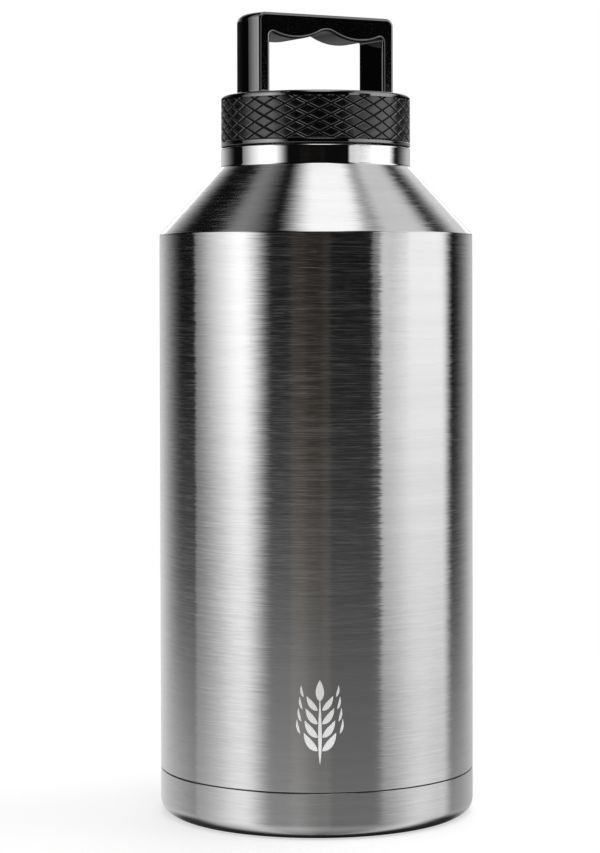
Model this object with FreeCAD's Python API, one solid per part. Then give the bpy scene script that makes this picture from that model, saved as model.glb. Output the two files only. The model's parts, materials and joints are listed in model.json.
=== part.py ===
import FreeCAD, Part
import math
import os

# Growler: a double-wall steel bottle with a screw-on lid that carries a loop handle.
# Millimetres. +Z is up, the origin is on the bottle's axis at the surface it stands on,
# and the handle's loop lies along X.

# Bottle, outside
BODY_RADIUS = 60.0
NECK_RADIUS = 36.25
SHELL_WALL = 0.6
SHELL_SEAM_HEIGHT = 219.0      # where the shoulder is welded on
SHOULDER_HEIGHT = 220.8        # where the cylinder and the cone would meet without a radius
SHOULDER_ROUND = 0.8
NECK_START_HEIGHT = 246.6      # where the cone and the neck would meet without a radius
NECK_ROUND = 1.0
SHELL_TOP = 253.9
SHELL_TOP_ROUND = 0.65

# Base cap, and the seam above it
CAP_HEIGHT = 17.1
CAP_ROUND = 5.4
SEAM_GAP = 0.45
SEAM_DEPTH = 0.25
FOOT_INNER_RADIUS = 46.5
FOOT_STEP = 2.0                # how far the middle of the base stands above the foot

# Outer bottom, with its evacuation port
BOTTOM_RADIUS = 59.3
BOTTOM_HEIGHT = 6.4
BOTTOM_TOP = 21.4
PORT_RISE = 3.0
PORT_RADIUS = 8.0
PORT_HOLE_RADIUS = 1.5
BEAD_RADIUS = 4.5
BEAD_HEIGHT = 1.5

# Getter, in the vacuum space
GETTER_OFFSET = 30.0
CLIP_RADIUS = 6.0
CLIP_HEIGHT = 3.0
CLIP_WALL = 0.5
PELLET_HEIGHT = 2.0

# Liner, which holds the drink
LINER_RADIUS = 54.0
LINER_WALL = 0.5
LINER_NECK_RADIUS = 30.0
LINER_SHOULDER_HEIGHT = 218.9
LINER_NECK_HEIGHT = 245.7
LINER_ROUND = 6.0
LINER_JOINT_HEIGHT = 24.0
LINER_SEAM_HEIGHT = 216.0
LINER_FLOOR_HEIGHT = 13.0
LINER_DOME_RISE = 4.0
LINER_DOME_RADIUS = 20.0
LINER_DOME_FOOT_RADIUS = 38.0
LINER_FLOOR_ROUND = 10.0
FOIL_GAP = 0.3
FOIL_WALL = 0.2
FOIL_BOTTOM = 30.0
FOIL_TOP = 214.0

# Spout and its screw thread
SPOUT_BOTTOM = 249.0
SPOUT_TOP = 264.4
SPOUT_INNER_RADIUS = 29.3
SPOUT_OUTER_RADIUS = 30.5
RIM_ROUND = 0.5
THREAD_PITCH = 4.5
THREAD_TURNS = 1.5
THREAD_START_HEIGHT = 256.4
THREAD_HALF_FOOT = 0.9         # half the ridge's width at its foot
THREAD_HALF_CREST = 0.5
THREAD_SINK = 0.3              # how far a ridge reaches into its wall
SPOUT_CREST_RADIUS = 31.8
CUP_CREST_RADIUS = 31.0

# Lid
LID_RADIUS = 36.25
LID_BOTTOM = 254.2
LID_TOP = 273.9
LIP_HEIGHT = 1.9               # bottom lip
DECK_HEIGHT = 1.9              # top lip
DECK_ROUND = 1.2
LIP_ROUND = 0.5
CUP_INNER_RADIUS = 32.4
CUP_OUTER_RADIUS = 33.8
CUP_TOP = 270.2
WEB_BOTTOM = 266.7
DECK_SPIGOT_BOTTOM = 270.3
RING_GAP = 0.05
PLUG_RADIUS = 27.9
PLUG_STEP_RADIUS = 27.4
PLUG_STEP_HEIGHT = 258.6
PLUG_BOTTOM = 255.6
PLUG_FLOOR = 257.2
WELL_RADIUS = 25.9
FOAM_CLEARANCE = 0.2
GROOVE_RADIUS = 30.5
GROOVE_HALF_WIDTH = 1.2
GROOVE_BOTTOM = 268.5
DECK_SEAL_THICKNESS = 1.7
PLATE_BOTTOM = 252.6
PLATE_WALL = 0.45
PLATE_SEAL_RADIUS = 26.0
PLATE_SEAL_THICKNESS = 2.2
PLATE_SEAL_HEIGHT = 254.35
GASKET_INNER_RADIUS = 28.5
GASKET_OUTER_RADIUS = 32.1
GASKET_BOTTOM = 264.6
GASKET_TOP = 266.5
GASKET_ROUND = 0.4

# Screws that hold the deck to the thread cup
SCREW_COUNT = 4
SCREW_CIRCLE_RADIUS = 17.0
SCREW_HEAD_RADIUS = 2.7
SCREW_HEAD_HEIGHT = 1.7
SCREW_RADIUS = 1.45
SCREW_TIP = 267.0
SCREW_RECESS = 0.9
BOSS_RADIUS = 3.2
BOSS_HOLE_RADIUS = 1.5
BOSS_HOLE_TOP = 268.5
FLOOR_HOLE_RADIUS = 1.7
FOAM_HOLE_RADIUS = 3.4

# Handle: a loop that stands on the deck and is moulded in one with it
HANDLE_TOP = 304.4
HANDLE_HALF_LENGTH = 31.5
HANDLE_HALF_DEPTH = 9.0
HANDLE_END_RADIUS = 20.0       # the loop's two outer sides bulge outwards, seen from above
LEG_THICKNESS = 6.7            # at the middle of the bulge
HANDLE_CORNER_ROUND = 3.0
GRIP_CORNER_ROUND = 1.2
LOBE_HEIGHT = 294.8            # lowest point of the grip's two lobes
LOBE_OFFSET = 14.2
ARCH_HEIGHT = 298.3            # top of the arch between the lobes
ARCH_RADIUS = 6.5
OUTER_EDGE_ROUND = 1.0
INNER_EDGE_ROUND = 1.0
FOOT_ROUND = 1.0
OVERLAP = 0.6                  # how far fused pieces reach into each other

UP = FreeCAD.Vector(0, 0, 1)
AXIS_POINT = FreeCAD.Vector(0, 0, 0)


def turned(vector, angle):
    """A copy of the vector, turned about the bottle's axis by an angle in degrees."""
    return FreeCAD.Rotation(UP, angle).multVec(vector)


def fillet_points(before, corner, after, radius):
    """Start, middle and end of the arc that rounds a corner."""
    to_before = (before - corner).normalize()
    to_after = (after - corner).normalize()
    half_angle = to_before.getAngle(to_after) / 2
    bisector = (to_before + to_after).normalize()
    reach = radius / math.tan(half_angle)
    depth = radius / math.sin(half_angle) - radius
    return corner + to_before * reach, corner + bisector * depth, corner + to_after * reach


def outline(corners):
    """Closed wire in the XZ plane. A corner is (x, z) or (x, z, rounding radius)."""
    points = [FreeCAD.Vector(corner[0], 0, corner[1]) for corner in corners]
    stops = []
    for index, corner in enumerate(corners):
        if len(corner) == 3:
            after = points[(index + 1) % len(points)]
            stops.append(fillet_points(points[index - 1], points[index], after, corner[2]))
        else:
            stops.append((points[index],))
    edges = []
    for index, stop in enumerate(stops):
        if len(stop) == 3:
            edges.append(Part.Arc(*stop).toShape())
        edges.append(Part.LineSegment(stop[-1], stops[(index + 1) % len(stops)][0]).toShape())
    return Part.Wire(edges)


def spin(corners):
    """Solid of revolution about the bottle's axis."""
    return Part.Face(outline(corners)).revolve(AXIS_POINT, UP, 360)


def offset_path(path, thickness):
    """The same path, moved to its left by a thickness, with its radii changed to match."""
    points = [FreeCAD.Vector(corner[0], 0, corner[1]) for corner in path]
    directions = [(b - a).normalize() for a, b in zip(points, points[1:])]
    normals = [FreeCAD.Vector(-step.z, 0, step.x) for step in directions]
    moved = [points[0] + normals[0] * thickness]
    for index in range(1, len(points) - 1):
        blend = normals[index - 1] + normals[index]
        moved.append(points[index] + blend * (2 * thickness / blend.dot(blend)))
    moved.append(points[-1] + normals[-1] * thickness)
    corners = [(moved[0].x, moved[0].z)]
    for index in range(1, len(points) - 1):
        turns_left = directions[index].dot(normals[index - 1]) > 0
        radius = path[index][2] + (-thickness if turns_left else thickness)
        corners.append((moved[index].x, moved[index].z, radius))
    corners.append((moved[-1].x, moved[-1].z))
    return corners


def sheet_metal(path, thickness):
    """Turned sheet whose outer face follows a path that has the bottle's inside on its left."""
    return spin(list(path) + offset_path(path, thickness)[::-1])


def tube(inner_radius, outer_radius, bottom, top):
    return spin([(inner_radius, bottom), (outer_radius, bottom), (outer_radius, top), (inner_radius, top)])


def cylinder(radius, bottom, top, centre=AXIS_POINT):
    return Part.makeCylinder(radius, top - bottom, FreeCAD.Vector(centre.x, centre.y, bottom), UP)


def o_ring(radius, thickness, height):
    return Part.makeTorus(radius, thickness / 2, FreeCAD.Vector(0, 0, height), UP)


def screw_centres():
    """Screws stand on a circle, between the handle's two feet and beside them."""
    first = FreeCAD.Vector(SCREW_CIRCLE_RADIUS, 0, 0)
    step = 360 / SCREW_COUNT
    return [turned(first, step * (index + 0.5)) for index in range(SCREW_COUNT)]


def thread_ridge(foot_radius, crest_radius, start_height, start_angle):
    """Right-hand helical ridge that stands on a wall, outwards or inwards."""
    sink = THREAD_SINK if foot_radius > crest_radius else -THREAD_SINK
    section = [(foot_radius + sink, -THREAD_HALF_FOOT), (crest_radius, -THREAD_HALF_CREST),
               (crest_radius, THREAD_HALF_CREST), (foot_radius + sink, THREAD_HALF_FOOT)]
    helix = Part.makeHelix(THREAD_PITCH, THREAD_PITCH * THREAD_TURNS, foot_radius)
    ridge = Part.Wire(helix).makePipeShell([outline(section)], True, True)
    ridge.rotate(AXIS_POINT, UP, start_angle)
    ridge.translate(UP * start_height)
    return ridge


def make_outer_shell():
    """Straight tube between the base cap and the welded-on shoulder."""
    return tube(BODY_RADIUS - SHELL_WALL, BODY_RADIUS, CAP_HEIGHT + SEAM_GAP, SHELL_SEAM_HEIGHT)


def make_shell_shoulder():
    """Cone and neck of the outside, turned in at the top to meet the spout."""
    path = [(BODY_RADIUS, SHELL_SEAM_HEIGHT),
            (BODY_RADIUS, SHOULDER_HEIGHT, SHOULDER_ROUND),
            (NECK_RADIUS, NECK_START_HEIGHT, NECK_ROUND),
            (NECK_RADIUS, SHELL_TOP, SHELL_TOP_ROUND),
            (SPOUT_OUTER_RADIUS + RING_GAP, SHELL_TOP)]
    return sheet_metal(path, SHELL_WALL)


def make_base_cap():
    path = [(0, FOOT_STEP),
            (FOOT_INNER_RADIUS - FOOT_STEP, FOOT_STEP, FOOT_STEP),
            (FOOT_INNER_RADIUS, 0, FOOT_STEP),
            (BODY_RADIUS, 0, CAP_ROUND),
            (BODY_RADIUS, CAP_HEIGHT)]
    return sheet_metal(path, SHELL_WALL)


def make_base_bond():
    """Ring of black adhesive that shows as the seam between the base cap and the shell."""
    inner = BODY_RADIUS - SHELL_WALL
    outer = BODY_RADIUS - SEAM_DEPTH
    return tube(inner, outer, CAP_HEIGHT, CAP_HEIGHT + SEAM_GAP)


def make_outer_bottom():
    port_height = BOTTOM_HEIGHT + PORT_RISE
    path = [(PORT_HOLE_RADIUS, port_height),
            (PORT_RADIUS, port_height, 2 * SHELL_WALL),
            (PORT_RADIUS + PORT_RISE, BOTTOM_HEIGHT, 2 * SHELL_WALL),
            (BOTTOM_RADIUS, BOTTOM_HEIGHT, CAP_ROUND),
            (BOTTOM_RADIUS, BOTTOM_TOP)]
    return sheet_metal(path, SHELL_WALL)


def make_port_seal():
    """Glass bead that was melted over the evacuation hole from below."""
    top = BOTTOM_HEIGHT + PORT_RISE
    return spin([(0, top), (0, top - BEAD_HEIGHT), (BEAD_RADIUS, top - BEAD_HEIGHT, 1.2), (BEAD_RADIUS, top)])


def getter_centre():
    return FreeCAD.Vector(GETTER_OFFSET, 0, 0)


def make_getter_clip():
    floor = BOTTOM_HEIGHT + SHELL_WALL
    cup = cylinder(CLIP_RADIUS, floor, floor + CLIP_HEIGHT, getter_centre())
    hollow = cylinder(CLIP_RADIUS - CLIP_WALL, floor + CLIP_WALL, floor + CLIP_HEIGHT, getter_centre())
    return cup.cut(hollow)


def make_getter_pellet():
    floor = BOTTOM_HEIGHT + SHELL_WALL + CLIP_WALL
    return cylinder(CLIP_RADIUS - 2 * CLIP_WALL, floor, floor + PELLET_HEIGHT, getter_centre())


def make_inner_liner():
    """Straight tube between the liner's welded-on bottom and shoulder."""
    return tube(LINER_RADIUS - LINER_WALL, LINER_RADIUS, LINER_JOINT_HEIGHT, LINER_SEAM_HEIGHT)


def make_liner_shoulder():
    path = [(LINER_RADIUS, LINER_SEAM_HEIGHT),
            (LINER_RADIUS, LINER_SHOULDER_HEIGHT, LINER_ROUND),
            (LINER_NECK_RADIUS, LINER_NECK_HEIGHT, LINER_ROUND),
            (LINER_NECK_RADIUS, SPOUT_BOTTOM)]
    return sheet_metal(path, LINER_WALL)


def make_liner_bottom():
    dome_height = LINER_FLOOR_HEIGHT + LINER_DOME_RISE
    path = [(0, dome_height),
            (LINER_DOME_RADIUS, dome_height, 2 * LINER_DOME_RADIUS),
            (LINER_DOME_FOOT_RADIUS, LINER_FLOOR_HEIGHT, LINER_DOME_RADIUS),
            (LINER_RADIUS, LINER_FLOOR_HEIGHT, LINER_FLOOR_ROUND),
            (LINER_RADIUS, LINER_JOINT_HEIGHT)]
    return sheet_metal(path, LINER_WALL)


def make_radiation_foil():
    inner = LINER_RADIUS + FOIL_GAP
    return tube(inner, inner + FOIL_WALL, FOIL_BOTTOM, FOIL_TOP)


def make_threaded_spout():
    wall = spin([(SPOUT_INNER_RADIUS, SPOUT_BOTTOM), (SPOUT_OUTER_RADIUS, SPOUT_BOTTOM),
                 (SPOUT_OUTER_RADIUS, SPOUT_TOP, RIM_ROUND), (SPOUT_INNER_RADIUS, SPOUT_TOP, RIM_ROUND)])
    return wall.fuse(thread_ridge(SPOUT_OUTER_RADIUS, SPOUT_CREST_RADIUS, THREAD_START_HEIGHT, 0))


def make_mouth_gasket():
    return spin([(GASKET_INNER_RADIUS, GASKET_BOTTOM, GASKET_ROUND),
                 (GASKET_OUTER_RADIUS, GASKET_BOTTOM, GASKET_ROUND),
                 (GASKET_OUTER_RADIUS, GASKET_TOP, GASKET_ROUND),
                 (GASKET_INNER_RADIUS, GASKET_TOP, GASKET_ROUND)])


def make_thread_cup():
    """Bottom lip, threaded wall, gasket seat and the plug's well, in one moulding."""
    lip_top = LID_BOTTOM + LIP_HEIGHT
    groove_outer = GROOVE_RADIUS + GROOVE_HALF_WIDTH
    groove_inner = GROOVE_RADIUS - GROOVE_HALF_WIDTH
    cup = spin([(LID_RADIUS, LID_BOTTOM, LIP_ROUND), (LID_RADIUS, lip_top, LIP_ROUND),
                (CUP_OUTER_RADIUS, lip_top), (CUP_OUTER_RADIUS, CUP_TOP),
                (groove_outer, CUP_TOP), (groove_outer, GROOVE_BOTTOM),
                (groove_inner, GROOVE_BOTTOM), (groove_inner, CUP_TOP),
                (WELL_RADIUS, CUP_TOP), (WELL_RADIUS, PLUG_FLOOR), (0, PLUG_FLOOR), (0, PLUG_BOTTOM),
                (PLUG_STEP_RADIUS, PLUG_BOTTOM), (PLUG_STEP_RADIUS, PLUG_STEP_HEIGHT),
                (PLUG_RADIUS, PLUG_STEP_HEIGHT), (PLUG_RADIUS, WEB_BOTTOM),
                (CUP_INNER_RADIUS, WEB_BOTTOM), (CUP_INNER_RADIUS, LID_BOTTOM, LIP_ROUND)])
    # Half a turn back at the same height puts this ridge midway between the spout's turns.
    cup = cup.fuse(thread_ridge(CUP_INNER_RADIUS, CUP_CREST_RADIUS, THREAD_START_HEIGHT, -180))
    for centre in screw_centres():
        cup = cup.cut(cylinder(FLOOR_HOLE_RADIUS, PLUG_BOTTOM - OVERLAP, PLUG_FLOOR + OVERLAP, centre))
    return cup


def make_grip_ring():
    bottom = LID_BOTTOM + LIP_HEIGHT + RING_GAP
    top = LID_TOP - DECK_HEIGHT - RING_GAP
    inner = CUP_OUTER_RADIUS + RING_GAP
    return spin([(inner, bottom), (LID_RADIUS, bottom, LIP_ROUND), (LID_RADIUS, top, LIP_ROUND), (inner, top)])


def make_foam_insert():
    bottom = PLUG_FLOOR + FOAM_CLEARANCE
    top = CUP_TOP - FOAM_CLEARANCE
    foam = cylinder(WELL_RADIUS - FOAM_CLEARANCE, bottom, top)
    for centre in screw_centres():
        foam = foam.cut(cylinder(FOAM_HOLE_RADIUS, bottom, top, centre))
    return foam


def make_deck_screws():
    """Pan-head screws with a cross recess. They come up through the plug's floor."""
    head_bottom = PLUG_BOTTOM - SCREW_HEAD_HEIGHT
    screw = spin([(0, head_bottom), (SCREW_HEAD_RADIUS, head_bottom, SCREW_HEAD_HEIGHT / 2),
                  (SCREW_HEAD_RADIUS, PLUG_BOTTOM), (SCREW_RADIUS, PLUG_BOTTOM),
                  (SCREW_RADIUS, SCREW_TIP - SCREW_RADIUS), (0, SCREW_TIP)])
    slot_length = SCREW_HEAD_RADIUS * 1.2
    slot_width = SCREW_RECESS * 0.8
    for length, width in ((slot_length, slot_width), (slot_width, slot_length)):
        corner = FreeCAD.Vector(-length / 2, -width / 2, head_bottom)
        screw = screw.cut(Part.makeBox(length, width, SCREW_RECESS, corner))
    screws = []
    for centre in screw_centres():
        placed = screw.copy()
        placed.translate(centre)
        screws.append(placed)
    return Part.makeCompound(screws)


def make_plug_plate():
    path = [(0, PLATE_BOTTOM), (PLUG_RADIUS, PLATE_BOTTOM, 1.0), (PLUG_RADIUS, PLUG_STEP_HEIGHT - RING_GAP)]
    return sheet_metal(path, PLATE_WALL)


def make_plate_seal():
    return o_ring(PLATE_SEAL_RADIUS, PLATE_SEAL_THICKNESS, PLATE_SEAL_HEIGHT)


def make_deck_seal():
    height = GROOVE_BOTTOM + RING_GAP + DECK_SEAL_THICKNESS / 2
    return o_ring(GROOVE_RADIUS, DECK_SEAL_THICKNESS, height)


def grip_outline():
    """Inside of the loop: straight legs under two lobes with an arch between them."""
    side = HANDLE_HALF_LENGTH - LEG_THICKNESS
    # The lobes' radius follows from arcs that run smoothly into the arch's own arc.
    rise = ARCH_HEIGHT - LOBE_HEIGHT
    radius_sum = (LOBE_OFFSET ** 2 + rise ** 2) / (2 * rise)
    lobe_radius = radius_sum - ARCH_RADIUS
    lobe_centre_height = LOBE_HEIGHT + lobe_radius
    join_x = LOBE_OFFSET * ARCH_RADIUS / radius_sum
    join_z = ARCH_HEIGHT - ARCH_RADIUS + (radius_sum - rise) * ARCH_RADIUS / radius_sum
    end_z = lobe_centre_height - math.sqrt(lobe_radius ** 2 - (side - LOBE_OFFSET) ** 2)

    def at(x, z):
        return FreeCAD.Vector(x, -HANDLE_HALF_DEPTH, z)

    floor = LID_TOP - OVERLAP
    edges = [Part.LineSegment(at(-side, end_z), at(-side, floor)),
             Part.LineSegment(at(-side, floor), at(side, floor)),
             Part.LineSegment(at(side, floor), at(side, end_z)),
             Part.Arc(at(side, end_z), at(LOBE_OFFSET, LOBE_HEIGHT), at(join_x, join_z)),
             Part.Arc(at(join_x, join_z), at(0, ARCH_HEIGHT), at(-join_x, join_z)),
             Part.Arc(at(-join_x, join_z), at(-LOBE_OFFSET, LOBE_HEIGHT), at(-side, end_z))]
    return Part.Wire([edge.toShape() for edge in edges]), end_z


def rounded(shape, radius, wanted):
    """Rounds every edge of a shape for which wanted(edge's box, edge) holds."""
    edges = [edge for edge in shape.Edges if wanted(edge.BoundBox, edge)]
    return shape.makeFillet(radius, edges)


def make_handle_block():
    """The loop before it is opened: a bar with bulging ends and rounded top ends."""
    bulge = HANDLE_END_RADIUS - math.sqrt(HANDLE_END_RADIUS ** 2 - HANDLE_HALF_DEPTH ** 2)
    corner_x = HANDLE_HALF_LENGTH - bulge
    foot = LID_TOP - OVERLAP

    def at(x, y):
        return FreeCAD.Vector(x, y, foot)

    plan = [Part.LineSegment(at(-corner_x, -HANDLE_HALF_DEPTH), at(corner_x, -HANDLE_HALF_DEPTH)),
            Part.Arc(at(corner_x, -HANDLE_HALF_DEPTH), at(HANDLE_HALF_LENGTH, 0), at(corner_x, HANDLE_HALF_DEPTH)),
            Part.LineSegment(at(corner_x, HANDLE_HALF_DEPTH), at(-corner_x, HANDLE_HALF_DEPTH)),
            Part.Arc(at(-corner_x, HANDLE_HALF_DEPTH), at(-HANDLE_HALF_LENGTH, 0), at(-corner_x, -HANDLE_HALF_DEPTH))]
    wire = Part.Wire([edge.toShape() for edge in plan])
    block = Part.Face(wire).extrude(UP * (HANDLE_TOP - foot))

    def is_top_end(box, edge):
        return box.ZMin > HANDLE_TOP - 0.01 and box.XLength < 2 * bulge

    return rounded(block, HANDLE_CORNER_ROUND, is_top_end)


def make_handle_loop():
    """The loop alone, with its feet sunk a little into the deck."""
    inside, corner_height = grip_outline()
    hole = Part.Face(inside).extrude(FreeCAD.Vector(0, 2 * HANDLE_HALF_DEPTH, 0))
    loop = make_handle_block().cut(hole)
    side = HANDLE_HALF_LENGTH - LEG_THICKNESS

    def is_inner_corner(box, edge):
        at_side = abs(abs(box.Center.x) - side) < 0.01 and abs(box.Center.z - corner_height) < 0.01
        return at_side and box.YLength > HANDLE_HALF_DEPTH

    loop = rounded(loop, GRIP_CORNER_ROUND, is_inner_corner)

    def is_face_edge(box, edge):
        at_face = abs(abs(box.Center.y) - HANDLE_HALF_DEPTH) < 0.01
        return at_face and box.YLength < 0.01 and box.ZMax > LID_TOP

    def is_inner_edge(box, edge):
        middle = edge.CenterOfMass
        return is_face_edge(box, edge) and abs(middle.x) < side + 0.01 and middle.z < HANDLE_TOP - 1

    loop = rounded(loop, INNER_EDGE_ROUND, is_inner_edge)

    def is_outer_edge(box, edge):
        middle = edge.CenterOfMass
        return is_face_edge(box, edge) and (abs(middle.x) > side + 2 or middle.z > HANDLE_TOP - 1)

    return rounded(loop, OUTER_EDGE_ROUND, is_outer_edge)


def make_handle_deck():
    """Deck, loop handle and screw bosses, in one moulding."""
    spigot_radius = CUP_OUTER_RADIUS - RING_GAP
    deck = spin([(0, LID_TOP), (LID_RADIUS, LID_TOP, DECK_ROUND), (LID_RADIUS, LID_TOP - DECK_HEIGHT),
                 (spigot_radius, LID_TOP - DECK_HEIGHT), (spigot_radius, DECK_SPIGOT_BOTTOM),
                 (0, DECK_SPIGOT_BOTTOM)])
    deck = deck.fuse(make_handle_loop()).removeSplitter()

    def is_foot_edge(box, edge):
        flat = box.ZLength < 0.01 and abs(box.ZMax - LID_TOP) < 0.01
        return flat and box.YMax <= HANDLE_HALF_DEPTH + 0.01 and box.YMin >= -HANDLE_HALF_DEPTH - 0.01

    deck = rounded(deck, FOOT_ROUND, is_foot_edge)
    for centre in screw_centres():
        deck = deck.fuse(cylinder(BOSS_RADIUS, PLUG_FLOOR + RING_GAP, DECK_SPIGOT_BOTTOM + OVERLAP, centre))
    for centre in screw_centres():
        deck = deck.cut(cylinder(BOSS_HOLE_RADIUS, PLUG_FLOOR, BOSS_HOLE_TOP, centre))
    return deck


PIECES = {
    "outer_shell": make_outer_shell,
    "shell_shoulder": make_shell_shoulder,
    "base_cap": make_base_cap,
    "base_bond": make_base_bond,
    "outer_bottom": make_outer_bottom,
    "port_seal": make_port_seal,
    "getter_clip": make_getter_clip,
    "getter_pellet": make_getter_pellet,
    "inner_liner": make_inner_liner,
    "liner_shoulder": make_liner_shoulder,
    "liner_bottom": make_liner_bottom,
    "radiation_foil": make_radiation_foil,
    "threaded_spout": make_threaded_spout,
    "mouth_gasket": make_mouth_gasket,
    "thread_cup": make_thread_cup,
    "grip_ring": make_grip_ring,
    "handle_deck": make_handle_deck,
    "deck_seal": make_deck_seal,
    "deck_screws": make_deck_screws,
    "foam_insert": make_foam_insert,
    "plug_plate": make_plug_plate,
    "plate_seal": make_plate_seal,
}

os.makedirs("parts", exist_ok=True)
for name, make in PIECES.items():
    shape = make()
    shape.exportStep(f"parts/{name}.step")
    print(f"{name}: {len(shape.Solids)} solid(s), {shape.Volume / 1000:.2f} cm3, valid {shape.isValid()}")
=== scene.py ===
import functools
import json
import math

import bmesh
import bpy
from mathutils import Matrix, Vector


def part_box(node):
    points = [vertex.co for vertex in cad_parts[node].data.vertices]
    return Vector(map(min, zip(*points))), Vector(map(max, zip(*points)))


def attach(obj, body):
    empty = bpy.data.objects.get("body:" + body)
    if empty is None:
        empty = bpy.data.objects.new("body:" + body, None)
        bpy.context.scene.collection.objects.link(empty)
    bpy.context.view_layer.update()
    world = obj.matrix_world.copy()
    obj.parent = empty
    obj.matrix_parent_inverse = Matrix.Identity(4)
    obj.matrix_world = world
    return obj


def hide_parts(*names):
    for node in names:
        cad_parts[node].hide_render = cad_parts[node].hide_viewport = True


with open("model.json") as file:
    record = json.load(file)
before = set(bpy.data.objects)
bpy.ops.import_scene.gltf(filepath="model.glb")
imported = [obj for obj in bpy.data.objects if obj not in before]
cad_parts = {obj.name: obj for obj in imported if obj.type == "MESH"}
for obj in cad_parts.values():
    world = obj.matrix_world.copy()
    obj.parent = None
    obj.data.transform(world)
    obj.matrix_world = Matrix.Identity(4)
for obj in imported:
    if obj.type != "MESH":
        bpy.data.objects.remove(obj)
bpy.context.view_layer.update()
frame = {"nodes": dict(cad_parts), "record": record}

# A steel growler with a black screw lid, in metres, in the CAD frame.

MM = 0.001

# Camera
CAMERA_AZIMUTH = math.radians(-30)      # 0 looks along +Y
CAMERA_DISTANCE = 0.978                 # from the bottle's axis
CAMERA_HEIGHT = 0.1989
CAMERA_YAW = math.radians(0.36)         # the bottle stands a little right of the middle
CAMERA_PITCH = math.radians(-0.9)
CAMERA_ROLL = math.radians(-0.12)
LENS_MM = 107.3                         # on a 36 mm sensor along the picture's longer side
SHIFT_Y = -0.1108

# Outside of the steel body, as the CAD draws it
BODY_RADIUS = 60.0 * MM
NECK_RADIUS = 36.25 * MM
SHELL_WALL = 0.6 * MM
SHELL_LIP_RADIUS = 31.0 * MM            # inner edge of the shell's turned-in top
SHOULDER_HEIGHT = 220.8 * MM
INNER_SHOULDER_DROP = 0.3 * MM          # of the wall's inner corner below the outer one
NECK_START_HEIGHT = 246.6 * MM
SHOULDER_ROUND = 0.8 * MM
NECK_ROUND = 1.0 * MM
SHELL_TOP_ROUND = 0.65 * MM
SEAM_EDGE_ROUND = 0.15 * MM
CAP_ROUND = 5.4 * MM
FOOT_INNER_RADIUS = 46.5 * MM
FOOT_STEP = 2.0 * MM

# Turned pieces
TURN_STEPS = 360
ARC_STEP_DEGREES = 5
ON_AXIS = 0.001 * MM                    # a smaller radius counts as a point on the axis
SUPPORT_GAP = 0.12 * MM

# Brushed steel. Noise scales are per metre, and far finer upwards, so each cell is a line around the body
LONG_LINES = (45, 45, 3000)
SHORT_LINES = (170, 170, 3600)
LEANING_LINES = (90, 90, 3000)
SOFT_BANDS = (8, 8, 260)
DARK_LINE = 0.6
LIGHT_LINE = 0.68
POLISHED = 0.78                         # the neck
LINE_DEPTH = 0.0005 * MM
LINE_LEAN = 0.09                        # slope by which a line's surface leans to one side
STEEL_ROUGHNESS = 0.1
LINE_ROUGHNESS = 0.13                   # more, on the coarsest lines
POLISHED_ROUGHNESS_SHARE = 0.4
BRUSH_STRETCH = 0.92                    # of the highlights, across the lines
FOOT_SHADE = 0.006                      # painted shade: the colour darkens where the rounding meets the table
FOOT_SHADE_HEIGHT = 4.6 * MM

# Black plastic
GLOSS_IOR = 2.8
GRIP_IOR = 2.3
UNDERSIDE_PAINTED_SHINE = 0.15                  # painted shade: share of the highlights that undersides keep
UNDERSIDE_ROUGHNESS = 0.3
# painted shade in the grooves, and dimmed highlights on the lozenge tops so that their edges stand out as
# painted highlights
GROOVE_PAINTED_SHINE = 0.1
LOZENGE_PAINTED_SHINE = 0.42

# Grip ring's knurl
DIAMONDS_AROUND = 26
DIAMOND_HEIGHT = 4.25 * MM
GROOVE_DEPTH = 0.45 * MM
RING_WALL = 2.35 * MM
# Distance from a groove's middle, as a share of the gap between grooves, and the height there
KNURL_PROFILE = [(0.0, 0.0), (0.035, 0.0), (0.075, 0.5), (0.09, 0.6), (0.13, 0.92), (0.15, 0.98),
                 (0.175, 1.0), (0.33, 1.0), (0.5, 1.0)]

# Emblem: an ear of barley, laid on the front of the body
EMBLEM_AZIMUTH = math.radians(-118.9)
EMBLEM_BOTTOM = 27.5 * MM
EMBLEM_FADE = 30.0 * MM                 # height over which it grows duller
EMBLEM_PROUD = 0.05 * MM
EMBLEM_PAINTED_GLOW = 0.42                      # painted glow: stands in for the light that the etching scatters from all sides
STEM_LENGTH = 25.0 * MM
STEM_WIDTH = 1.3 * MM
GRAIN_PAIRS = 4
FIRST_PAIR = 5.2 * MM                   # above the emblem's bottom
PAIR_GAP = 4.9 * MM
PAIR_SHRINK = 0.07                      # each pair is smaller than the one below
GRAIN_FOOT = 0.8 * MM                   # beside the stem's middle
GRAIN_LENGTH = 8.4 * MM
GRAIN_WIDTH = 2.6 * MM
TOP_GRAIN_FOOT = 23.2 * MM
TOP_GRAIN_LENGTH = 7.8 * MM
TOP_GRAIN_WIDTH = 3.0 * MM
BRISTLE_LENGTH = 5.5 * MM
BRISTLE_WIDTH = 0.9 * MM

# Studio
ROOM_LEVEL = 0.004                      # light from where no softbox stands
GLINT_LEVEL = 0.04
OVERHEAD_LEVEL = 1.45
WARM = (1.0, 0.78, 0.56)
FLOOR_RADIUS = 0.42
FLOOR_GLOW = 0.6


# ---------------------------------------------------------------- node helpers

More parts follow.
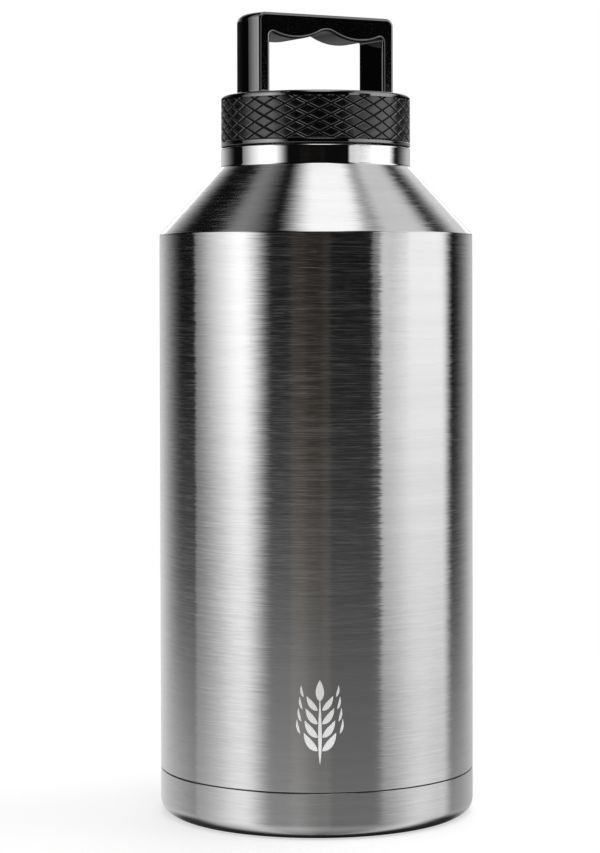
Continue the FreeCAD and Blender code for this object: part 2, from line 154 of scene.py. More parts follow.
class Nodes:
    """Short calls for building a node tree."""

    def __init__(self, tree):
        self.tree = tree
        tree.nodes.clear()

    def add(self, kind, **settings):
        node = self.tree.nodes.new(kind)
        for name, value in settings.items():
            setattr(node, name, value)
        return node

    def feed(self, socket, value):
        """Links an output to a socket, or sets the socket to a plain value."""
        if isinstance(value, bpy.types.NodeSocket):
            self.tree.links.new(value, socket)
        else:
            socket.default_value = value

    def math(self, operation, *values, clamp=False):
        node = self.add("ShaderNodeMath", operation=operation, use_clamp=clamp)
        for socket, value in zip(node.inputs, values):
            self.feed(socket, value)
        return node.outputs[0]

    def ramp(self, value, low, high, to_low=0.0, to_high=1.0):
        """Smooth step from to_low at low to to_high at high."""
        node = self.add("ShaderNodeMapRange", interpolation_type="SMOOTHSTEP")
        for socket, given in zip(node.inputs, (value, low, high, to_low, to_high)):
            self.feed(socket, given)
        return node.outputs[0]

    def between(self, value, left, right, left_soft, right_soft):
        """1 between two limits, 0 outside, with soft edges."""
        rise = self.ramp(value, left - left_soft, left + left_soft)
        fall = self.ramp(value, right - right_soft, right + right_soft, 1.0, 0.0)
        return self.math("MULTIPLY", rise, fall)

    def product(self, *values):
        return functools.reduce(lambda one, other: self.math("MULTIPLY", one, other), values)

    def total(self, *values):
        return functools.reduce(lambda one, other: self.math("ADD", one, other), values)

    def without(self, share):
        """What a share leaves of 1."""
        return self.math("SUBTRACT", 1.0, share)

    def mix_colour(self, factor, first, second):
        node = self.add("ShaderNodeMix", data_type="RGBA")
        self.feed(node.inputs[0], factor)
        self.feed(node.inputs[6], first)
        self.feed(node.inputs[7], second)
        return node.outputs[2]

    def noise(self, vector, scale=1.0, detail=2.0, roughness=0.5):
        node = self.add("ShaderNodeTexNoise")
        self.feed(node.inputs["Vector"], vector)
        node.inputs["Scale"].default_value = scale
        node.inputs["Detail"].default_value = detail
        node.inputs["Roughness"].default_value = roughness
        return node.outputs["Fac"]

    def coordinates(self, vector):
        """A vector's x, y and z."""
        node = self.add("ShaderNodeSeparateXYZ")
        self.feed(node.inputs[0], vector)
        return node.outputs[:]

    def position(self):
        """Object coordinates: x, y and z."""
        return self.coordinates(self.add("ShaderNodeTexCoord").outputs["Object"])

    def around_axis(self):
        """Tangent that runs around the bottle."""
        return self.add("ShaderNodeTangent", direction_type="RADIAL", axis="Z").outputs[0]

    def vector(self, operation, *values):
        """Vector Math node's vector. A plain number or an output at the end is the scale."""
        node = self.add("ShaderNodeVectorMath", operation=operation)
        if operation == "SCALE":
            self.feed(node.inputs["Scale"], values[-1])
            values = values[:-1]
        for socket, value in zip(node.inputs, values):
            self.feed(socket, value)
        return node.outputs[0]

    def stretched(self, scale):
        """Object coordinates, scaled by a different amount along each axis."""
        node = self.add("ShaderNodeMapping")
        self.feed(node.inputs["Vector"], self.add("ShaderNodeTexCoord").outputs["Object"])
        node.inputs["Scale"].default_value = scale
        return node.outputs[0]

    def bump(self, height, distance, strength=1.0, normal=None):
        node = self.add("ShaderNodeBump")
        node.inputs["Strength"].default_value = strength
        node.inputs["Distance"].default_value = distance
        self.feed(node.inputs["Height"], height)
        if normal is not None:
            self.feed(node.inputs["Normal"], normal)
        return node.outputs[0]

    def surface(self, **values):
        """Principled shader and output. A name's underscores stand for spaces."""
        shader = self.add("ShaderNodeBsdfPrincipled")
        for name, value in values.items():
            self.feed(shader.inputs[name.replace("_", " ")], value)
        self.tree.links.new(shader.outputs[0], self.add("ShaderNodeOutputMaterial").inputs[0])
        return shader


def new_material(name):
    material = bpy.data.materials.new(name)
    material.use_nodes = True
    return material, Nodes(material.node_tree)


def grey(level, tint=(1.0, 1.0, 1.0)):
    return tuple(level * part for part in tint) + (1.0,)


# ---------------------------------------------------------------- materials

def leaning_normal(n, around, most):
    """Surface normal that leans to one side or the other, line by line."""
    lines = n.noise(n.stretched(LEANING_LINES), detail=3, roughness=0.65)
    lean = n.math("MULTIPLY", n.math("SUBTRACT", lines, 0.5), most)
    surface = n.add("ShaderNodeNewGeometry").outputs["Normal"]
    return n.vector("NORMALIZE", n.vector("ADD", surface, n.vector("SCALE", around, lean)))


def brushed_steel():
    """Stainless steel with fine brush lines that run around the bottle, a polished neck, and painted shade
    at its foot.
    """
    material, n = new_material("brushed_body")
    height = n.position()[2]
    polish = n.ramp(height, NECK_START_HEIGHT - 0.5 * MM, NECK_START_HEIGHT + 0.5 * MM)

    long_lines = n.noise(n.stretched(LONG_LINES), detail=3, roughness=0.6)
    short_lines = n.noise(n.stretched(SHORT_LINES), detail=3, roughness=0.6)
    bands = n.noise(n.stretched(SOFT_BANDS), detail=2)
    lines = n.total(n.product(long_lines, 0.55), n.product(short_lines, 0.45))
    shade = n.total(n.product(lines, 0.7), n.product(bands, 0.3))

    brushed = n.mix_colour(n.ramp(shade, 0.3, 0.7), grey(DARK_LINE), grey(LIGHT_LINE))
    clean = n.mix_colour(polish, brushed, grey(POLISHED))
    # painted shade: the colour darkens towards the table, below FOOT_SHADE_HEIGHT
    colour = n.mix_colour(n.ramp(height, 0.0, FOOT_SHADE_HEIGHT), grey(FOOT_SHADE), clean)

    coarse = n.math("POWER", n.ramp(lines, 0.36, 0.72), 1.6)
    rough = n.total(STEEL_ROUGHNESS, n.product(coarse, LINE_ROUGHNESS))
    rough = n.product(rough, n.ramp(polish, 0, 1, 1.0, POLISHED_ROUGHNESS_SHARE))

    around = n.around_axis()
    lean = leaning_normal(n, around, n.ramp(polish, 0, 1, LINE_LEAN, 0.0))
    shader = n.surface(Base_Color=colour, Metallic=1.0, Roughness=rough,
                       Normal=n.bump(lines, LINE_DEPTH, normal=lean), Tangent=around)
    shader.inputs["Anisotropic"].default_value = BRUSH_STRETCH
    shader.inputs["Anisotropic Rotation"].default_value = 0.25
    return material


def etched_silver():
    """Emblem: etched white, with a painted glow that stands in for the light it scatters from every side;
    colour and glow grow a little brighter towards its foot.
    """
    material, n = new_material("etched_silver")
    grain = n.noise(n.stretched((4000, 4000, 500)), detail=2)
    fade = n.ramp(n.position()[2], EMBLEM_BOTTOM, EMBLEM_BOTTOM + EMBLEM_FADE, 1.0, 0.0)
    colour = n.mix_colour(fade, grey(0.78), grey(1.0))
    rough = n.ramp(grain, 0.3, 0.7, 0.5, 0.65)
    # painted light: the emission is a painted glow, the emblem is no lamp
    n.surface(Base_Color=colour, Metallic=0.15, Roughness=rough, Normal=n.bump(grain, 0.003 * MM),
              Emission_Color=colour, Emission_Strength=EMBLEM_PAINTED_GLOW)
    return material


def plain_steel(name, roughness):
    """Drawn and electropolished steel, with a faint unevenness."""
    material, n = new_material(name)
    cloud = n.noise(n.stretched((60, 60, 60)), detail=3)
    grain = n.noise(n.stretched((900, 900, 900)), detail=2)
    rough = n.ramp(cloud, 0.3, 0.7, roughness * 0.8, roughness * 1.2)
    colour = n.mix_colour(cloud, grey(0.55), grey(0.66))
    n.surface(Base_Color=colour, Metallic=1.0, Roughness=rough, Normal=n.bump(grain, 0.005 * MM))
    return material


def gloss_black():
    """Smooth black moulding with a very faint waviness, rougher on its undersides, which carry painted shade
    that dims their highlights.
    """
    material, n = new_material("gloss_black")
    wave = n.noise(n.stretched((220, 220, 220)), detail=1)
    dust = n.noise(n.stretched((1500, 1500, 1500)), detail=2)
    facing_up = n.coordinates(n.add("ShaderNodeNewGeometry").outputs["Normal"])[2]
    underside = n.ramp(facing_up, -0.6, -0.15, 1.0, 0.0)
    rough = n.total(n.ramp(dust, 0.35, 0.75, 0.03, 0.06), n.product(underside, UNDERSIDE_ROUGHNESS))
    colour = n.mix_colour(wave, grey(0.001), grey(0.002))
    # painted shade: downward faces keep only a share of their highlights
    painted_shine = n.mix_colour(underside, grey(1.0), grey(UNDERSIDE_PAINTED_SHINE))
    shader = n.surface(Base_Color=colour, Roughness=rough, Normal=n.bump(wave, 0.006 * MM),
                       Specular_Tint=painted_shine)
    shader.inputs["IOR"].default_value = GLOSS_IOR
    return material


def grip_black():
    """Fine-grained black of the knurled ring, rougher in the grooves, with painted shade that darkens the
    grooves and dims their highlights, and lozenge tops whose highlights are dimmed below half so that their
    edges stand out as painted highlights.
    """
    material, n = new_material("grip_black")
    x, y = n.position()[:2]
    radius = n.math("SQRT", n.total(n.product(x, x), n.product(y, y)))

    def raised(low, high):
        """0 below one depth in the groove and 1 above another, both as shares of the groove's depth."""
        return n.ramp(radius, NECK_RADIUS - low * GROOVE_DEPTH, NECK_RADIUS - high * GROOVE_DEPTH)

    crest = raised(1.0, 0.4)
    # painted shade: grooves keep a tenth of the highlights, edges all of them, lozenge tops less than half
    painted_shine = n.mix_colour(raised(0.6, 0.3), grey(GROOVE_PAINTED_SHINE), grey(1.0))
    painted_shine = n.mix_colour(raised(0.12, 0.02), painted_shine, grey(LOZENGE_PAINTED_SHINE))
    grain = n.noise(n.stretched((2600, 2600, 2600)), detail=3, roughness=0.6)
    cloud = n.noise(n.stretched((400, 400, 400)), detail=2)
    rough = n.total(n.ramp(cloud, 0.3, 0.7, 0.15, 0.25), n.ramp(crest, 0, 1, 0.45, 0.0))
    # painted shade: the groove floors are a darker black than the tops
    colour = n.mix_colour(crest, grey(0.001), n.mix_colour(grain, grey(0.002), grey(0.005)))
    shader = n.surface(Base_Color=colour, Roughness=rough, Normal=n.bump(grain, 0.014 * MM),
                       Specular_Tint=painted_shine)
    shader.inputs["IOR"].default_value = GRIP_IOR
    return material


def soft_plastic(name, dark, light, roughness, grain_depth):
    """Silicone, adhesive or foam: a mottled colour and a fine grain."""
    material, n = new_material(name)
    cloud = n.noise(n.stretched((120, 120, 120)), detail=3)
    grain = n.noise(n.stretched((1800, 1800, 1800)), detail=3)
    rough = n.ramp(cloud, 0.3, 0.7, roughness * 0.85, roughness * 1.1)
    colour = n.mix_colour(cloud, dark, light)
    n.surface(Base_Color=colour, Roughness=rough, Normal=n.bump(grain, grain_depth))
    return material


def bead_glass():
    """Greenish glass with cloudy patches."""
    material, n = new_material("bead_glass")
    cloud = n.noise(n.stretched((500, 500, 500)), detail=3)
    green = (0.9, 1.0, 0.92)
    colour = n.mix_colour(cloud, grey(0.35, green), grey(0.6, green))
    shader = n.surface(Base_Color=colour, Roughness=n.ramp(cloud, 0.3, 0.7, 0.05, 0.15))
    shader.inputs["Transmission Weight"].default_value = 0.6
    return material


def make_materials():
    """One material per slot of the record."""
    cream = (1, 0.98, 0.9)
    return {
        "brushed_body": brushed_steel(),
        "inner_steel": plain_steel("inner_steel", 0.3),
        "bare_foil": plain_steel("bare_foil", 0.18),
        "seam_black": soft_plastic("seam_black", grey(0.01), grey(0.02), 0.5, 0.02 * MM),
        "bead_glass": bead_glass(),
        "getter_metal": soft_plastic("getter_metal", grey(0.12), grey(0.2), 0.7, 0.05 * MM),
        "gloss_black": gloss_black(),
        "grip_black": grip_black(),
        "seal_rubber": soft_plastic("seal_rubber", grey(0.5), grey(0.6), 0.5, 0.01 * MM),
        "foam_white": soft_plastic("foam_white", grey(0.7, cream), grey(0.8, cream), 0.8, 0.1 * MM),
    }


def dress_cad_nodes(materials):
    """Gives every CAD node the material of its slot."""
    for part in frame["record"]["subparts"]:
        mesh = frame["nodes"][part["node"]].data
        mesh.materials.clear()
        mesh.materials.append(materials[part["material_slot"]])


# ---------------------------------------------------------------- pieces

def mesh_object(name, bm, material, smooth=True):
    mesh = bpy.data.meshes.new(name)
    bm.to_mesh(mesh)
    bm.free()
    mesh.materials.append(material)
    for polygon in mesh.polygons:
        polygon.use_smooth = smooth
    piece = bpy.data.objects.new(name, mesh)
    bpy.context.scene.collection.objects.link(piece)
    return piece


def knurl_height(distance):
    """Height beside a groove, as a share of its depth, between the profile's points."""
    for (near, low), (far, high) in zip(KNURL_PROFILE, KNURL_PROFILE[1:]):
        if distance <= far:
            return low + (high - low) * (distance - near) / (far - near)
    return 1.0


def make_grip_ring(material):
    """Ring with a diamond knurl: flat lozenges between crossing grooves."""
    low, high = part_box("grip_ring")
    radius = high.x
    near = [share for share, height in KNURL_PROFILE]
    stops = near + [1 - share for share in reversed(near[:-1])]
    strips = list(zip(stops, stops[1:]))
    count = DIAMONDS_AROUND
    rows = math.ceil((high.z - low.z) / DIAMOND_HEIGHT) + 1
    bm = bmesh.new()
    corners = {}

    def corner(p, q):
        """p and q count grooves of the two families. Their sum goes around, their difference up."""
        turn = (p + q) / 2 % count
        height = low.z + (p - q) / 2 * DIAMOND_HEIGHT
        key = (round(turn, 4) % count, round(height * 1e6))
        if key not in corners:
            height_share = min(knurl_height(abs(value - round(value))) for value in (p, q))
            distance = radius - GROOVE_DEPTH * (1 - height_share)
            angle = turn / count * 2 * math.pi
            corners[key] = bm.verts.new((distance * math.cos(angle), distance * math.sin(angle), height))
        return corners[key]

    for level in range(-1, 2 * rows + 1):
        for q_start in range(count):
            p_start = q_start + level
            for p_low, p_high in strips:
                for q_low, q_high in strips:
                    bm.faces.new((corner(p_start + p_low, q_start + q_low),
                                  corner(p_start + p_high, q_start + q_low),
                                  corner(p_start + p_high, q_start + q_high),
                                  corner(p_start + p_low, q_start + q_high)))
    for height, side in ((low.z, -1), (high.z, 1)):
        bmesh.ops.bisect_plane(bm, geom=bm.verts[:] + bm.edges[:] + bm.faces[:], dist=1e-7,
                               plane_co=(0, 0, height), plane_no=(0, 0, side), clear_outer=True)
    close_ring(bm, radius - RING_WALL, low.z, high.z)
    bmesh.ops.recalc_face_normals(bm, faces=bm.faces)
    return mesh_object("knurled_ring", bm, material)


def close_ring(bm, inner, bottom, top):
    """Folds the band's two open edges inwards and joins them along the inner wall."""
    inner_loops = []
    for height in (bottom, top):
        rim = [edge for edge in bm.edges if edge.is_boundary
               and all(abs(vertex.co.z - height) < 1e-6 for vertex in edge.verts)]
        made = bmesh.ops.extrude_edge_only(bm, edges=rim)["geom"]
        verts = [item for item in made if isinstance(item, bmesh.types.BMVert)]
        for vertex in verts:
            flat = Vector((vertex.co.x, vertex.co.y)).normalized() * inner
            vertex.co.x, vertex.co.y = flat
        edges = [item for item in made if isinstance(item, bmesh.types.BMEdge)]
        inner_loops.append([edge for edge in edges if edge.is_boundary])
    bmesh.ops.bridge_loops(bm, edges=inner_loops[0] + inner_loops[1])


def rounded_corner(before, corner, after, radius):
    """Points of the arc that rounds a corner of a profile, and one on each straight beside it.

    The two extra points keep the straights' shading from bending towards the arc.
    """
    corner = Vector(corner)
    to_before = (Vector(before) - corner).normalized()
    to_after = (Vector(after) - corner).normalized()
    half = to_before.angle(to_after) / 2
    centre = corner + (to_before + to_after).normalized() * (radius / math.sin(half))
    start = corner + to_before * (radius / math.tan(half)) - centre
    end = corner + to_after * (radius / math.tan(half)) - centre
    sweep = start.angle_signed(end)
    steps = max(4, math.ceil(abs(math.degrees(sweep)) / ARC_STEP_DEGREES))
    arc = [centre + Matrix.Rotation(-sweep * step / steps, 2) @ start for step in range(steps + 1)]
    return [arc[0] + to_before * SUPPORT_GAP] + arc + [arc[-1] + to_after * SUPPORT_GAP]


def profile_points(corners):
    """Closed profile from corners that are (radius, height) or (radius, height, rounding)."""
    points = []
    for index, corner in enumerate(corners):
        if len(corner) == 2:
            points.append(Vector(corner))
        else:
            before = corners[index - 1][:2]
            after = corners[(index + 1) % len(corners)][:2]
            points.extend(rounded_corner(before, corner[:2], after, corner[2]))
    return points


def turned_piece(name, corners, material):
    """Solid of revolution about the bottle's axis."""
    bm = bmesh.new()
    angles = [2 * math.pi * step / TURN_STEPS for step in range(TURN_STEPS)]
    rings = []
    for radius, height in profile_points(corners):
        if radius < ON_AXIS:
            rings.append([bm.verts.new((0, 0, height))])
        else:
            spots = [(radius * math.cos(angle), radius * math.sin(angle), height) for angle in angles]
            rings.append([bm.verts.new(spot) for spot in spots])
    for lower, upper in zip(rings, rings[1:] + rings[:1]):
        for step in range(TURN_STEPS):
            following = (step + 1) % TURN_STEPS
            if len(lower) == 1 and len(upper) == 1:
                continue
            if len(lower) == 1:
                bm.faces.new((lower[0], upper[following], upper[step]))
            elif len(upper) == 1:
                bm.faces.new((lower[step], lower[following], upper[0]))
            else:
                bm.faces.new((lower[step], lower[following], upper[following], upper[step]))
    bmesh.ops.recalc_face_normals(bm, faces=bm.faces)
    return mesh_object(name, bm, material)


def make_shell(material):
    """Outer shell in one piece with its shoulder, with small rounded edges at the seam and at the lid."""
    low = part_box("outer_shell")[0]
    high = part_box("shell_shoulder")[1]
    inner = BODY_RADIUS - SHELL_WALL
    inner_neck = NECK_RADIUS - SHELL_WALL
    return turned_piece("shell", [
        (BODY_RADIUS, low.z, SEAM_EDGE_ROUND),
        (BODY_RADIUS, SHOULDER_HEIGHT, SHOULDER_ROUND),
        (NECK_RADIUS, NECK_START_HEIGHT, NECK_ROUND),
        (NECK_RADIUS, high.z, SHELL_TOP_ROUND),
        (SHELL_LIP_RADIUS, high.z),
        (SHELL_LIP_RADIUS, high.z - SHELL_WALL),
        (inner_neck, high.z - SHELL_WALL),
        (inner_neck, NECK_START_HEIGHT),
        (inner, SHOULDER_HEIGHT - INNER_SHOULDER_DROP),
        (inner, low.z)], material)


def make_cap(material):
    """Base cap with its foot ring."""
    low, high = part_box("base_cap")
    inner = BODY_RADIUS - SHELL_WALL
    return turned_piece("cap", [
        (0, FOOT_STEP),
        (FOOT_INNER_RADIUS - FOOT_STEP, FOOT_STEP, FOOT_STEP),
        (FOOT_INNER_RADIUS, low.z, FOOT_STEP / 2),
        (BODY_RADIUS, low.z, CAP_ROUND),
        (BODY_RADIUS, high.z, SEAM_EDGE_ROUND),
        (inner, high.z),
        (inner, SHELL_WALL, CAP_ROUND - SHELL_WALL),
        (FOOT_INNER_RADIUS, SHELL_WALL),
        (FOOT_INNER_RADIUS - FOOT_STEP, FOOT_STEP + SHELL_WALL),
        (0, FOOT_STEP + SHELL_WALL)], material)


def leaf_outline(length, width, steps=10):
    """Distance along a pointed oval and half its width there, from foot to tip."""
    rows = []
    for step in range(steps + 1):
        share = step / steps
        rows.append((share * length, width / 2 * math.sin(math.pi * share ** 0.8) ** 0.9))
    return rows


def add_leaf(bm, foot, tilt, length, width, bend=0.0):
    """Leaf on the body's front. Foot is in metres across and up, tilt is from upright."""
    rows = []
    for along, half in leaf_outline(length, width):
        lean = tilt + bend * along / length
        centre = Vector((foot[0] + math.sin(lean) * along, foot[1] + math.cos(lean) * along))
        side = Vector((math.cos(lean), -math.sin(lean)))
        row = []
        for share in (-1, -0.5, 0, 0.5, 1):
            spot = centre + side * half * share
            angle = EMBLEM_AZIMUTH + spot.x / BODY_RADIUS
            proud = BODY_RADIUS + EMBLEM_PROUD
            row.append(bm.verts.new((proud * math.cos(angle), proud * math.sin(angle), spot.y)))
        rows.append(row)
    for lower, upper in zip(rows, rows[1:]):
        for column in range(len(lower) - 1):
            bm.faces.new((lower[column], lower[column + 1], upper[column + 1], upper[column]))


def make_emblem(material):
    """Ear of barley: a stem, pairs of grains with a bristle at each tip, and one grain on top."""
    bm = bmesh.new()
    add_leaf(bm, (0, EMBLEM_BOTTOM), 0, STEM_LENGTH, STEM_WIDTH)
    for pair in range(GRAIN_PAIRS):
        height = EMBLEM_BOTTOM + FIRST_PAIR + PAIR_GAP * pair
        size = 1 - PAIR_SHRINK * pair
        for side in (-1, 1):
            add_leaf(bm, (side * GRAIN_FOOT, height), side * 0.95, GRAIN_LENGTH * size, GRAIN_WIDTH * size,
                     -side * 0.3)
            tip = (side * (1.1 + 6.1 * size) * MM, height + 6.2 * MM * size)
            add_leaf(bm, tip, side * 0.5, BRISTLE_LENGTH * size, BRISTLE_WIDTH, -side * 0.3)
    add_leaf(bm, (0, EMBLEM_BOTTOM + TOP_GRAIN_FOOT), 0, TOP_GRAIN_LENGTH, TOP_GRAIN_WIDTH)
    bmesh.ops.remove_doubles(bm, verts=bm.verts, dist=1e-7)
    sink_back(bm)
    bmesh.ops.recalc_face_normals(bm, faces=bm.faces)
    return mesh_object("emblem", bm, material)


def sink_back(bm):
    """Closes the leaves with a back that lies as deep in the body as their front is proud of it."""
    sunk = bmesh.ops.extrude_face_region(bm, geom=bm.faces[:], use_keep_orig=True)["geom"]
    reach = 1 - 2 * EMBLEM_PROUD / BODY_RADIUS
    for vertex in (item for item in sunk if isinstance(item, bmesh.types.BMVert)):
        vertex.co.x *= reach
        vertex.co.y *= reach


# ---------------------------------------------------------------- studio

class StudioNodes(Nodes):
    """Node tree of the world, with the direction that each ray leaves in.

    turned is in degrees to the right of the way back to the camera, and height in degrees above the horizon.
    The softboxes stand close, so light near the horizon changes faster with height, and elevation is height
    with that put in. They lean back, so their edges drift backwards with height, and azimuth is turned with
    that put in. away is azimuth without its sign.
    """

    def __init__(self, tree):
        super().__init__(tree)
        turn = self.add("ShaderNodeVectorRotate", rotation_type="Z_AXIS")
        self.feed(turn.inputs["Vector"], self.add("ShaderNodeTexCoord").outputs["Generated"])
        turn.inputs["Angle"].default_value = math.pi / 2 - CAMERA_AZIMUTH
        self.forward, self.right, self.up = self.coordinates(turn.outputs[0])

        self.height = self.math("DEGREES", self.math("ARCSINE", self.up))
        stretched_height = self.total(self.product(self.height, 1.43), 1.95)
        self.elevation = self.math("MAXIMUM", self.height, self.math("MINIMUM", stretched_height, 3.87))

        self.turned = self.math("DEGREES", self.math("ARCTAN2", self.right, self.forward))
        lean = self.ramp(self.turned, -1, 1, 0.39, 0.45)
        drift = self.product(self.math("MAXIMUM", self.height, 0.0), lean)
        self.away = self.math("SUBTRACT", self.math("ABSOLUTE", self.turned), drift)
        self.azimuth = self.product(self.math("SIGN", self.turned), self.away)

        # The right-hand lights' far edges stand further out where the neck and the lid's ring see them.
        outwards = self.product(self.between(self.height, 2.2, 5, 0.5, 1.5), 7.0)
        self.far_azimuth = self.total(self.azimuth, outwards)


def left_softbox(n):
    """Big box at the left, with a dim strip along its far side."""
    span = n.between(n.azimuth, -78, -43, 24, 12)
    far_edge = n.ramp(n.azimuth, -99.5, -97.5)
    upwards = n.ramp(n.elevation, 20, 55, 1.66, 0.55)
    low_level = n.ramp(n.azimuth, -92, -62, 0.42, 0.92)
    downwards = n.ramp(n.elevation, -5, 1, low_level, 1.0)
    box = n.product(span, far_edge, upwards, downwards)
    strip = n.product(n.between(n.azimuth, -98.5, -75, 1.0, 10), 0.24)
    top = n.ramp(n.elevation, 56, 75, 1.0, 0.0)
    foot = n.ramp(n.elevation, -11, 0, 0.45, 1.0)
    below = n.ramp(n.elevation, -34, -17, 0.5, 1.0)
    return n.product(n.total(box, strip), top, foot, below)


def right_softbox(n):
    """Big box at the right, brighter to its far side, with a dark flag where the handle's front sees it."""
    edge_shift = n.ramp(n.height, 1.6, 2.6, 0.0, 8.0)
    edge_start = n.ramp(n.elevation, -12, -5, 40, 45.5)
    edge_end = n.ramp(n.elevation, -12, -5, 53, 49)
    near_edge = n.ramp(n.total(n.azimuth, edge_shift), edge_start, edge_end)
    far_edge = n.ramp(n.far_azimuth, 103.5, 118.5, 1.0, 0.0)

    across = n.ramp(n.azimuth, 44, 74, 0.84, 1.33)
    upwards = n.ramp(n.elevation, 10, 60, 1.0, 0.62)
    downwards = n.ramp(n.elevation, -4, 1, 0.84, 1.0)
    top = n.ramp(n.elevation, 61, 72, 1.0, 0.0)
    high = n.product(across, upwards, downwards, top)
    low = n.product(n.ramp(n.azimuth, 44, 84, 0.06, 0.66), n.ramp(n.azimuth, 84, 106, 1.0, 0.75))
    low_share = n.ramp(n.elevation, -12, -3.5, 1.0, 0.0)
    level = n.total(n.product(high, n.without(low_share)), n.product(low, low_share))

    flag = n.product(n.between(n.azimuth, 52, 68, 2, 2), n.between(n.height, 4.05, 8.5, 0.3, 0.5))
    return n.product(near_edge, far_edge, level, n.without(flag))


def front_glints(n):
    """Two dim strips on both sides of the camera, and a dimmer field between them."""
    left = n.between(n.azimuth, -18, -6, 1.5, 4)
    right = n.between(n.azimuth, 4, 10, 1.5, 1.5)
    field = n.product(n.between(n.azimuth, -17, 9, 2, 2), 0.4)
    strips = n.math("MAXIMUM", n.total(left, right), field)
    return n.product(strips, n.between(n.height, -30, 2.2, 5, 0.6), GLINT_LEVEL)


def backlights(n):
    """Light from behind the bottle, at the left and at the right, that draws its bright outer edges."""
    left_start = n.ramp(n.elevation, 2, 25, -160, -164)
    left_end = n.ramp(n.elevation, 2, 25, -113, -126)
    left = n.product(n.ramp(n.azimuth, left_start, left_end, 1.0, 0.0), n.ramp(n.azimuth, -173, -171))
    right_end = n.ramp(n.elevation, 2, 25, 160, 148)
    right = n.product(n.ramp(n.far_azimuth, 119, right_end), n.ramp(n.azimuth, 171, 173, 1.0, 0.0))

    top = n.ramp(n.elevation, 45, 62, 1.0, 0.0)
    foot = n.ramp(n.elevation, -12, -6, 0.2, 1.0)
    horizon_level = n.ramp(n.turned, -1, 1, 0.66, 0.57)
    level = n.ramp(n.elevation, 2, 28, horizon_level, 0.9)
    handle_gap = n.product(n.between(n.height, 3.6, 8, 0.2, 0.6), n.ramp(n.away, 162, 168, 0.95, 0.0))
    return n.product(n.total(left, right), top, foot, level, n.without(handle_gap))


def back_rim(n):
    """Small bright field straight behind the bottle, seen only by its outermost edges."""
    return n.product(n.between(n.away, 158, 190, 6, 1), n.between(n.elevation, 7, 24, 2, 6))


def table_light(n):
    """Light that the table sends up, stronger at the left and towards the back."""
    middle = n.ramp(n.elevation, -12, -6, 0.36, 0.0)
    far = n.ramp(n.elevation, -9, 0.5, 0.08, 0.0)
    near = n.ramp(n.elevation, -35, -16, 0.16, 0.0)
    spread = n.total(n.ramp(n.azimuth, -18, 12, 1.0, 0.62), n.ramp(n.away, 95, 125, 0.0, 0.4))
    return n.product(n.total(middle, far, near), spread)


def overhead_panel(n):
    """Panel above the bottle. Its edges are slopes to the right and forwards."""
    safe_up = n.math("MAXIMUM", n.up, 0.01)
    across = n.between(n.math("DIVIDE", n.right, safe_up), -0.14, 0.345, 0.13, 0.085)
    along = n.between(n.math("DIVIDE", n.forward, safe_up), -0.4, 1.0, 0.1, 0.2)
    return n.product(across, along, OVERHEAD_LEVEL)


def shade_under_back(n):
    """What is left of the light low down behind the bottle, where it shades the table."""
    return n.without(n.product(n.ramp(n.away, 80, 120), n.ramp(n.elevation, -32, -18, 0.92, 0.0)))


def warm_share(n):
    """Where the light is warm: around the camera, less towards the table."""
    return n.product(n.between(n.azimuth, -17, 9, 2, 2), n.ramp(n.elevation, -11.5, -3),
                     n.ramp(n.height, 1.6, 2.8, 1.0, 0.0))


def make_world():
    """White backdrop for the camera, and softboxes in a dark room for everything else."""
    world = bpy.data.worlds.new("studio")
    bpy.context.scene.world = world
    world.use_nodes = True
    n = StudioNodes(world.node_tree)
    makers = (left_softbox, right_softbox, front_glints, backlights, back_rim, table_light, overhead_panel)
    light = n.product(n.total(ROOM_LEVEL, *[make(n) for make in makers]), shade_under_back(n))

    studio = n.add("ShaderNodeBackground")
    n.feed(studio.inputs["Strength"], light)
    n.feed(studio.inputs["Color"], n.mix_colour(warm_share(n), grey(1.0), grey(1.0, WARM)))
    white = n.add("ShaderNodeBackground")
    n.feed(white.inputs["Strength"], 1.0)
    n.feed(white.inputs["Color"], grey(1.0))
    mix = n.add("ShaderNodeMixShader")
    n.feed(mix.inputs[0], n.add("ShaderNodeLightPath").outputs["Is Camera Ray"])
    n.feed(mix.inputs[1], studio.outputs[0])
    n.feed(mix.inputs[2], white.outputs[0])
    n.feed(n.add("ShaderNodeOutputWorld").inputs[0], mix.outputs[0])


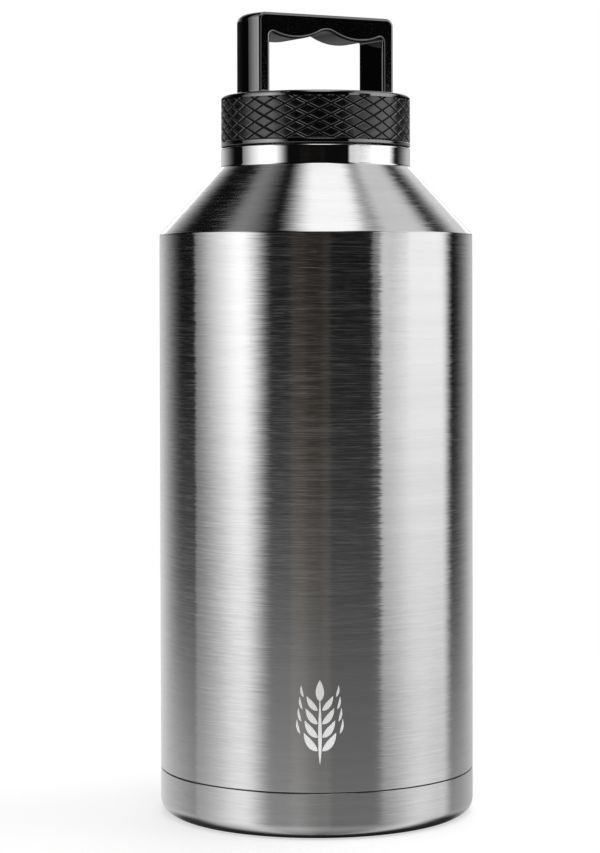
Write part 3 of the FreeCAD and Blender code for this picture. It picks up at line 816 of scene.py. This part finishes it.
def make_floor():
    """Round white floor. It looks full white, and keeps a soft shadow."""
    bm = bmesh.new()
    bmesh.ops.create_circle(bm, cap_ends=True, segments=96, radius=FLOOR_RADIUS)
    material, n = new_material("floor_white")
    glow = n.add("ShaderNodeEmission")
    for_camera = n.add("ShaderNodeLightPath").outputs["Is Camera Ray"]
    n.feed(glow.inputs["Strength"], n.product(for_camera, FLOOR_GLOW))
    diffuse = n.add("ShaderNodeBsdfDiffuse")
    diffuse.inputs["Color"].default_value = grey(0.8)
    both = n.add("ShaderNodeAddShader")
    n.feed(both.inputs[0], glow.outputs[0])
    n.feed(both.inputs[1], diffuse.outputs[0])
    n.feed(n.add("ShaderNodeOutputMaterial").inputs[0], both.outputs[0])
    floor = mesh_object("floor", bm, material, smooth=False)
    floor.visible_glossy = False


def make_camera():
    """Camera at the same viewing angle and framing as the reference."""
    data = bpy.data.cameras.new("camera")
    data.lens = LENS_MM
    data.shift_y = SHIFT_Y
    camera = bpy.data.objects.new("camera", data)
    bpy.context.scene.collection.objects.link(camera)
    place = Vector((math.sin(CAMERA_AZIMUTH), -math.cos(CAMERA_AZIMUTH), 0)) * CAMERA_DISTANCE
    place.z = CAMERA_HEIGHT
    camera.matrix_world = (Matrix.Translation(place)
                           @ Matrix.Rotation(CAMERA_AZIMUTH + CAMERA_YAW, 4, "Z")
                           @ Matrix.Rotation(math.pi / 2 + CAMERA_PITCH, 4, "X")
                           @ Matrix.Rotation(CAMERA_ROLL, 4, "Z"))
    bpy.context.scene.camera = camera


# ---------------------------------------------------------------- scene

def place(piece, body, slot, *nodes):
    """Puts a piece on its body, and in place of the CAD nodes that it stands for. slot is not used."""
    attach(piece, body)
    if nodes:
        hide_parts(*nodes)


materials = make_materials()
dress_cad_nodes(materials)

steel = materials["brushed_body"]
place(make_grip_ring(materials["grip_black"]), "lid", "grip_black", "grip_ring")
place(make_shell(steel), "bottle", "brushed_body", "outer_shell", "shell_shoulder")
place(make_cap(steel), "bottle", "brushed_body", "base_cap")
place(make_emblem(etched_silver()), "bottle", "brushed_body")

make_world()
make_floor()
make_camera()
bpy.context.scene.view_settings.view_transform = "Standard"
